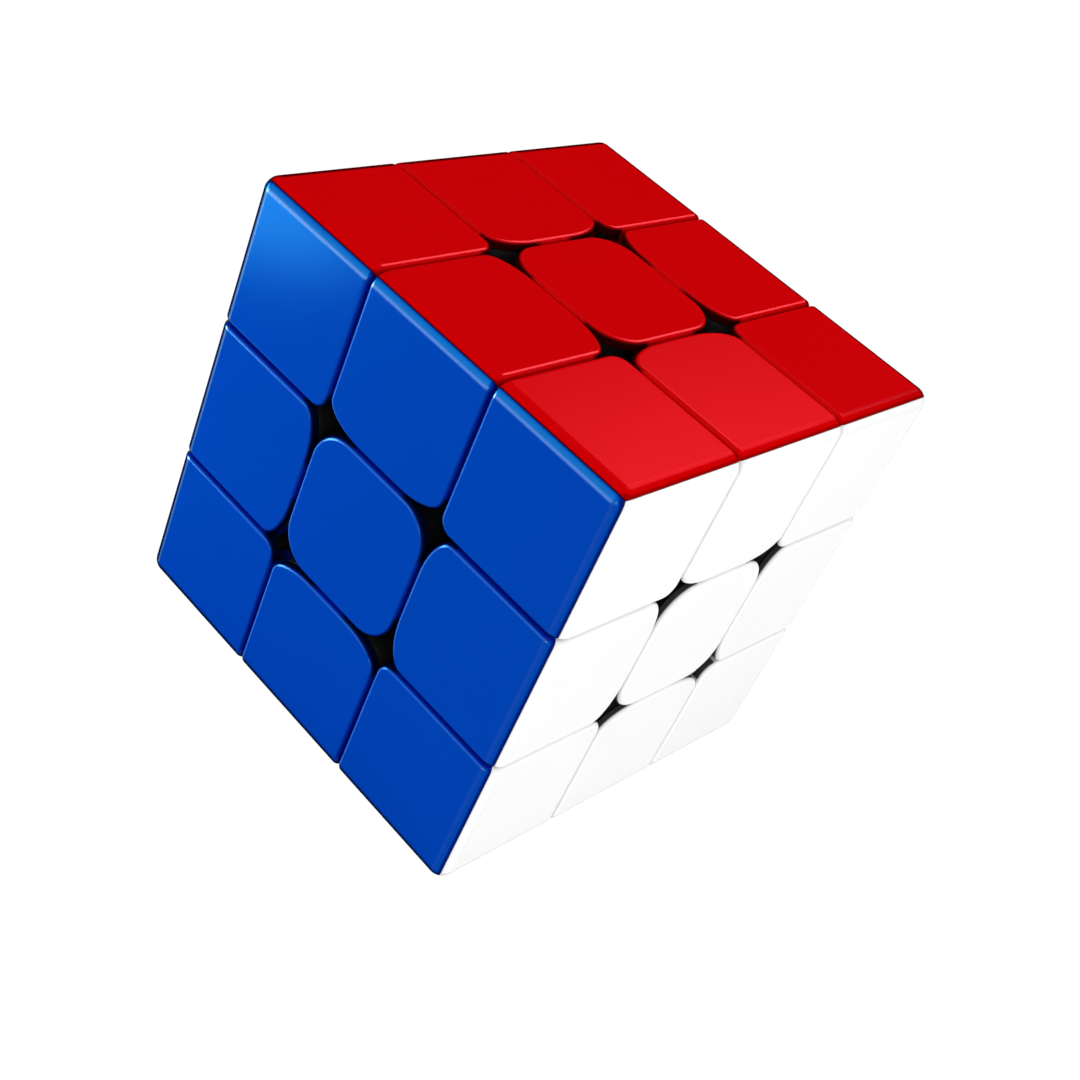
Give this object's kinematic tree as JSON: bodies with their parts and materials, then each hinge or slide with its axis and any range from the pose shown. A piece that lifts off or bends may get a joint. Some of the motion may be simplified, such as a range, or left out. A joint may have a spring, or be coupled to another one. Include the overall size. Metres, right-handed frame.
{
  "type": "twisty puzzle cube",
  "caption": "Twisty puzzle cube with a solid colour on each face; every outer layer turns about a sprung, screwed centre on a core that holds the hooked edge and corner pieces.",
  "frame": {"origin": "centre of the cube, where the six turning axes meet", "axes": "+Z out of the red face, -Y out of the blue face, +X out of the white face"},
  "size_m": [0.056, 0.056, 0.056],
  "materials": {
    "red_plastic": "moulded, satin gloss",
    "orange_plastic": "moulded, satin gloss",
    "blue_plastic": "moulded, satin gloss",
    "green_plastic": "moulded, satin gloss",
    "white_plastic": "moulded, satin gloss",
    "yellow_plastic": "moulded, satin gloss",
    "black_plastic": "moulded, fine matte",
    "core_plastic": "moulded, fine matte",
    "steel": "bright zinc plated"
  },
  "bodies": {
    "core": {"core": "core_plastic"},
    "turret_red": {"washer_red": "steel", "spring_red": "steel"},
    "centre_red": {"centre_base_red": "black_plastic"},
    "cap_red": {"centre_cap_red": "red_plastic"},
    "screw_red": {"screw_red": "steel"},
    "turret_orange": {"washer_orange": "steel", "spring_orange": "steel"},
    "centre_orange": {"centre_base_orange": "black_plastic"},
    "cap_orange": {"centre_cap_orange": "orange_plastic"},
    "screw_orange": {"screw_orange": "steel"},
    "turret_blue": {"washer_blue": "steel", "spring_blue": "steel"},
    "centre_blue": {"centre_base_blue": "black_plastic"},
    "cap_blue": {"centre_cap_blue": "blue_plastic"},
    "screw_blue": {"screw_blue": "steel"},
    "turret_green": {"washer_green": "steel", "spring_green": "steel"},
    "centre_green": {"centre_base_green": "black_plastic"},
    "cap_green": {"centre_cap_green": "green_plastic"},
    "screw_green": {"screw_green": "steel"},
    "turret_white": {"washer_white": "steel", "spring_white": "steel"},
    "centre_white": {"centre_base_white": "black_plastic"},
    "cap_white": {"centre_cap_white": "white_plastic"},
    "screw_white": {"screw_white": "steel"},
    "turret_yellow": {"washer_yellow": "steel", "spring_yellow": "steel"},
    "centre_yellow": {"centre_base_yellow": "black_plastic"},
    "cap_yellow": {"centre_cap_yellow": "yellow_plastic"},
    "screw_yellow": {"screw_yellow": "steel"},
    "edge_red_white": {"edge_red_white": "red_plastic"},
    "edge_red_blue": {"edge_red_blue": "red_plastic"},
    "edge_red_yellow": {"edge_red_yellow": "red_plastic"},
    "edge_red_green": {"edge_red_green": "red_plastic"},
    "edge_blue_white": {"edge_blue_white": "blue_plastic"},
    "edge_orange_white": {"edge_orange_white": "orange_plastic"},
    "edge_green_white": {"edge_green_white": "green_plastic"},
    "edge_orange_blue": {"edge_orange_blue": "orange_plastic"},
    "edge_blue_yellow": {"edge_blue_yellow": "blue_plastic"},
    "edge_orange_yellow": {"edge_orange_yellow": "orange_plastic"},
    "edge_orange_green": {"edge_orange_green": "orange_plastic"},
    "edge_green_yellow": {"edge_green_yellow": "green_plastic"},
    "corner_red_blue_white": {"corner_red_blue_white_shell": "red_plastic", "corner_red_blue_white_foot": "black_plastic"},
    "corner_red_green_white": {"corner_red_green_white_shell": "red_plastic", "corner_red_green_white_foot": "black_plastic"},
    "corner_red_blue_yellow": {"corner_red_blue_yellow_shell": "red_plastic", "corner_red_blue_yellow_foot": "black_plastic"},
    "corner_red_green_yellow": {"corner_red_green_yellow_shell": "red_plastic", "corner_red_green_yellow_foot": "black_plastic"},
    "corner_orange_blue_white": {"corner_orange_blue_white_shell": "orange_plastic", "corner_orange_blue_white_foot": "black_plastic"},
    "corner_orange_green_white": {"corner_orange_green_white_shell": "orange_plastic", "corner_orange_green_white_foot": "black_plastic"},
    "corner_orange_blue_yellow": {"corner_orange_blue_yellow_shell": "orange_plastic", "corner_orange_blue_yellow_foot": "black_plastic"},
    "corner_orange_green_yellow": {"corner_orange_green_yellow_shell": "orange_plastic", "corner_orange_green_yellow_foot": "black_plastic"}
  },
  "joints": [
    {"name": "face_turn_red", "type": "hinge", "parent": "core", "child": "turret_red", "pos_m": [0, 0, 0], "axis": [0, 0, 1], "continuous": true},
    {"name": "spring_float_red", "type": "slide", "parent": "turret_red", "child": "centre_red", "axis": [0, 0, 1], "range_m": [0, 0.0008], "stiffness_N_per_m": 600, "springref_m": -0.003, "deforming": ["spring_red"]},
    {"name": "lift_cap_red", "type": "slide", "parent": "centre_red", "child": "cap_red", "axis": [0, 0, 1], "range_m": [0, 0.012]},
    {"name": "tension_screw_red", "type": "hinge", "parent": "core", "child": "screw_red", "pos_m": [0, 0, 0], "axis": [0, 0, 1], "range_deg": [-180, 180]},
    {"name": "face_turn_orange", "type": "hinge", "parent": "core", "child": "turret_orange", "pos_m": [0, 0, 0], "axis": [0, 0, -1], "continuous": true},
    {"name": "spring_float_orange", "type": "slide", "parent": "turret_orange", "child": "centre_orange", "axis": [0, 0, -1], "range_m": [0, 0.0008], "stiffness_N_per_m": 600, "springref_m": -0.003, "deforming": ["spring_orange"]},
    {"name": "lift_cap_orange", "type": "slide", "parent": "centre_orange", "child": "cap_orange", "axis": [0, 0, -1], "range_m": [0, 0.012]},
    {"name": "tension_screw_orange", "type": "hinge", "parent": "core", "child": "screw_orange", "pos_m": [0, 0, 0], "axis": [0, 0, -1], "range_deg": [-180, 180]},
    {"name": "face_turn_blue", "type": "hinge", "parent": "core", "child": "turret_blue", "pos_m": [0, 0, 0], "axis": [0, -1, 0], "continuous": true},
    {"name": "spring_float_blue", "type": "slide", "parent": "turret_blue", "child": "centre_blue", "axis": [0, -1, 0], "range_m": [0, 0.0008], "stiffness_N_per_m": 600, "springref_m": -0.003, "deforming": ["spring_blue"]},
    {"name": "lift_cap_blue", "type": "slide", "parent": "centre_blue", "child": "cap_blue", "axis": [0, -1, 0], "range_m": [0, 0.012]},
    {"name": "tension_screw_blue", "type": "hinge", "parent": "core", "child": "screw_blue", "pos_m": [0, 0, 0], "axis": [0, -1, 0], "range_deg": [-180, 180]},
    {"name": "face_turn_green", "type": "hinge", "parent": "core", "child": "turret_green", "pos_m": [0, 0, 0], "axis": [0, 1, 0], "continuous": true},
    {"name": "spring_float_green", "type": "slide", "parent": "turret_green", "child": "centre_green", "axis": [0, 1, 0], "range_m": [0, 0.0008], "stiffness_N_per_m": 600, "springref_m": -0.003, "deforming": ["spring_green"]},
    {"name": "lift_cap_green", "type": "slide", "parent": "centre_green", "child": "cap_green", "axis": [0, 1, 0], "range_m": [0, 0.012]},
    {"name": "tension_screw_green", "type": "hinge", "parent": "core", "child": "screw_green", "pos_m": [0, 0, 0], "axis": [0, 1, 0], "range_deg": [-180, 180]},
    {"name": "face_turn_white", "type": "hinge", "parent": "core", "child": "turret_white", "pos_m": [0, 0, 0], "axis": [1, 0, 0], "continuous": true},
    {"name": "spring_float_white", "type": "slide", "parent": "turret_white", "child": "centre_white", "axis": [1, 0, 0], "range_m": [0, 0.0008], "stiffness_N_per_m": 600, "springref_m": -0.003, "deforming": ["spring_white"]},
    {"name": "lift_cap_white", "type": "slide", "parent": "centre_white", "child": "cap_white", "axis": [1, 0, 0], "range_m": [0, 0.012]},
    {"name": "tension_screw_white", "type": "hinge", "parent": "core", "child": "screw_white", "pos_m": [0, 0, 0], "axis": [1, 0, 0], "range_deg": [-180, 180]},
    {"name": "face_turn_yellow", "type": "hinge", "parent": "core", "child": "turret_yellow", "pos_m": [0, 0, 0], "axis": [-1, 0, 0], "continuous": true},
    {"name": "spring_float_yellow", "type": "slide", "parent": "turret_yellow", "child": "centre_yellow", "axis": [-1, 0, 0], "range_m": [0, 0.0008], "stiffness_N_per_m": 600, "springref_m": -0.003, "deforming": ["spring_yellow"]},
    {"name": "lift_cap_yellow", "type": "slide", "parent": "centre_yellow", "child": "cap_yellow", "axis": [-1, 0, 0], "range_m": [0, 0.012]},
    {"name": "tension_screw_yellow", "type": "hinge", "parent": "core", "child": "screw_yellow", "pos_m": [0, 0, 0], "axis": [-1, 0, 0], "range_deg": [-180, 180]},
    {"name": "ride_edge_red_white", "type": "hinge", "parent": "turret_red", "child": "edge_red_white", "pos_m": [0, 0, 0], "axis": [1, 0, 0], "continuous": true},
    {"name": "ride_edge_red_blue", "type": "hinge", "parent": "turret_blue", "child": "edge_red_blue", "pos_m": [0, 0, 0], "axis": [0, 0, 1], "continuous": true},
    {"name": "ride_edge_red_yellow", "type": "hinge", "parent": "turret_red", "child": "edge_red_yellow", "pos_m": [0, 0, 0], "axis": [-1, 0, 0], "continuous": true},
    {"name": "ride_edge_red_green", "type": "hinge", "parent": "turret_green", "child": "edge_red_green", "pos_m": [0, 0, 0], "axis": [0, 0, 1], "continuous": true},
    {"name": "ride_edge_blue_white", "type": "hinge", "parent": "turret_white", "child": "edge_blue_white", "pos_m": [0, 0, 0], "axis": [0, -1, 0], "continuous": true},
    {"name": "ride_edge_orange_white", "type": "hinge", "parent": "turret_orange", "child": "edge_orange_white", "pos_m": [0, 0, 0], "axis": [1, 0, 0], "continuous": true},
    {"name": "ride_edge_green_white", "type": "hinge", "parent": "turret_white", "child": "edge_green_white", "pos_m": [0, 0, 0], "axis": [0, 1, 0], "continuous": true},
    {"name": "ride_edge_orange_blue", "type": "hinge", "parent": "turret_blue", "child": "edge_orange_blue", "pos_m": [0, 0, 0], "axis": [0, 0, -1], "continuous": true},
    {"name": "ride_edge_blue_yellow", "type": "hinge", "parent": "turret_yellow", "child": "edge_blue_yellow", "pos_m": [0, 0, 0], "axis": [0, -1, 0], "continuous": true},
    {"name": "ride_edge_orange_yellow", "type": "hinge", "parent": "turret_orange", "child": "edge_orange_yellow", "pos_m": [0, 0, 0], "axis": [-1, 0, 0], "continuous": true},
    {"name": "ride_edge_orange_green", "type": "hinge", "parent": "turret_green", "child": "edge_orange_green", "pos_m": [0, 0, 0], "axis": [0, 0, -1], "continuous": true},
    {"name": "ride_edge_green_yellow", "type": "hinge", "parent": "turret_yellow", "child": "edge_green_yellow", "pos_m": [0, 0, 0], "axis": [0, 1, 0], "continuous": true},
    {"name": "ride_corner_red_blue_white", "type": "hinge", "parent": "edge_blue_white", "child": "corner_red_blue_white", "pos_m": [0, 0, 0], "axis": [0, 0, 1], "continuous": true},
    {"name": "ride_corner_red_green_white", "type": "hinge", "parent": "edge_green_white", "child": "corner_red_green_white", "pos_m": [0, 0, 0], "axis": [0, 0, 1], "continuous": true},
    {"name": "ride_corner_red_blue_yellow", "type": "hinge", "parent": "edge_blue_yellow", "child": "corner_red_blue_yellow", "pos_m": [0, 0, 0], "axis": [0, 0, 1], "continuous": true},
    {"name": "ride_corner_red_green_yellow", "type": "hinge", "parent": "edge_green_yellow", "child": "corner_red_green_yellow", "pos_m": [0, 0, 0], "axis": [0, 0, 1], "continuous": true},
    {"name": "ride_corner_orange_blue_white", "type": "hinge", "parent": "edge_orange_white", "child": "corner_orange_blue_white", "pos_m": [0, 0, 0], "axis": [0, -1, 0], "continuous": true},
    {"name": "ride_corner_orange_green_white", "type": "hinge", "parent": "edge_orange_green", "child": "corner_orange_green_white", "pos_m": [0, 0, 0], "axis": [1, 0, 0], "continuous": true},
    {"name": "ride_corner_orange_blue_yellow", "type": "hinge", "parent": "edge_orange_blue", "child": "corner_orange_blue_yellow", "pos_m": [0, 0, 0], "axis": [-1, 0, 0], "continuous": true},
    {"name": "ride_corner_orange_green_yellow", "type": "hinge", "parent": "edge_orange_yellow", "child": "corner_orange_green_yellow", "pos_m": [0, 0, 0], "axis": [0, 1, 0], "continuous": true}
  ],
  "couplings": [
    {"joint": "ride_edge_red_white", "follows": "face_turn_white", "ratio": 1},
    {"joint": "ride_edge_red_blue", "follows": "face_turn_red", "ratio": 1},
    {"joint": "ride_edge_red_yellow", "follows": "face_turn_yellow", "ratio": 1},
    {"joint": "ride_edge_red_green", "follows": "face_turn_red", "ratio": 1},
    {"joint": "ride_edge_blue_white", "follows": "face_turn_blue", "ratio": 1},
    {"joint": "ride_edge_orange_white", "follows": "face_turn_white", "ratio": 1},
    {"joint": "ride_edge_green_white", "follows": "face_turn_green", "ratio": 1},
    {"joint": "ride_edge_orange_blue", "follows": "face_turn_orange", "ratio": 1},
    {"joint": "ride_edge_blue_yellow", "follows": "face_turn_blue", "ratio": 1},
    {"joint": "ride_edge_orange_yellow", "follows": "face_turn_yellow", "ratio": 1},
    {"joint": "ride_edge_orange_green", "follows": "face_turn_orange", "ratio": 1},
    {"joint": "ride_edge_green_yellow", "follows": "face_turn_green", "ratio": 1},
    {"joint": "ride_corner_red_blue_white", "follows": "face_turn_red", "ratio": 1},
    {"joint": "ride_corner_red_green_white", "follows": "face_turn_red", "ratio": 1},
    {"joint": "ride_corner_red_blue_yellow", "follows": "face_turn_red", "ratio": 1},
    {"joint": "ride_corner_red_green_yellow", "follows": "face_turn_red", "ratio": 1},
    {"joint": "ride_corner_orange_blue_white", "follows": "face_turn_blue", "ratio": 1},
    {"joint": "ride_corner_orange_green_white", "follows": "face_turn_white", "ratio": 1},
    {"joint": "ride_corner_orange_blue_yellow", "follows": "face_turn_yellow", "ratio": 1},
    {"joint": "ride_corner_orange_green_yellow", "follows": "face_turn_green", "ratio": 1}
  ]
}
